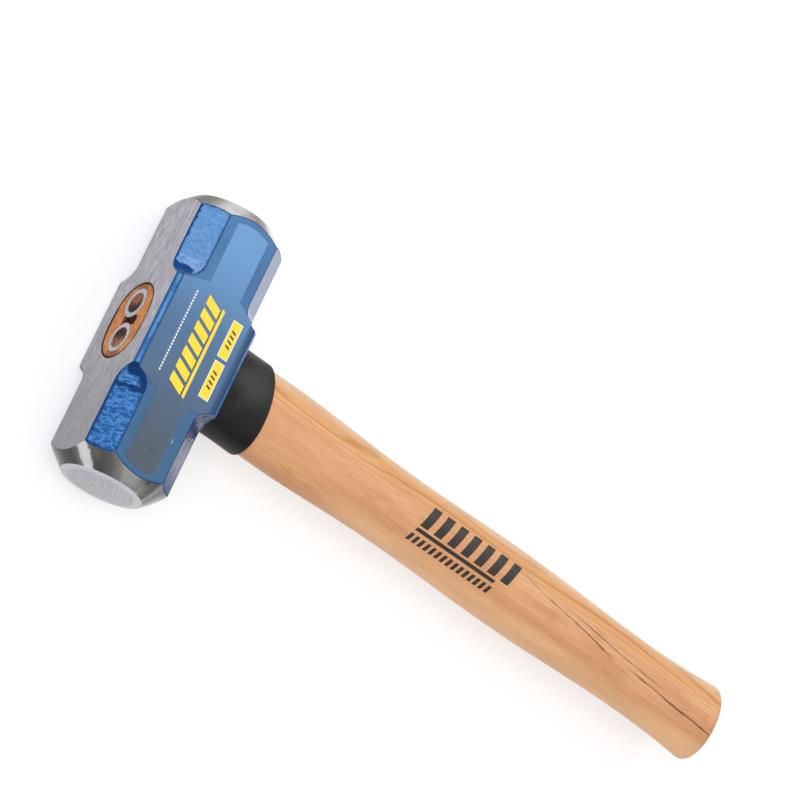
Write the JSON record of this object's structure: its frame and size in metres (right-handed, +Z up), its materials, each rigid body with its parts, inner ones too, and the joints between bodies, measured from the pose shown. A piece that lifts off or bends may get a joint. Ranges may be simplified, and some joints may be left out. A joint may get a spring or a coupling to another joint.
{
  "type": "sledgehammer",
  "caption": "Short-handled sledgehammer: faceted double-faced steel head wedged onto an oval hickory handle, with a rubber collar and a cheek label.",
  "frame": {"origin": "on the resting cheek, straight under the middle of the head", "axes": "+X along the handle from the head to the butt, +Y along the head from one striking face to the other, +Z up out of the labelled cheek"},
  "size_m": [0.3481, 0.134, 0.0474],
  "materials": {
    "head_steel": "blue paint on the forged facets and cheeks, bare brushed steel on the top and bottom faces and the turned ends",
    "handle_wood": "clear-lacquered hickory",
    "wedge_wood": "sanded flush end grain",
    "wedge_steel": "ground flush with the head",
    "collar_rubber": "matt black",
    "label_print": "printed film, blue fading to grey"
  },
  "bodies": {
    "root": {"head": "head_steel", "handle": "handle_wood", "kerf_wedge": "wedge_wood", "ring_wedge_front": "wedge_steel", "ring_wedge_rear": "wedge_steel", "collar": "collar_rubber", "label": "label_print"}
  },
  "joints": []
}
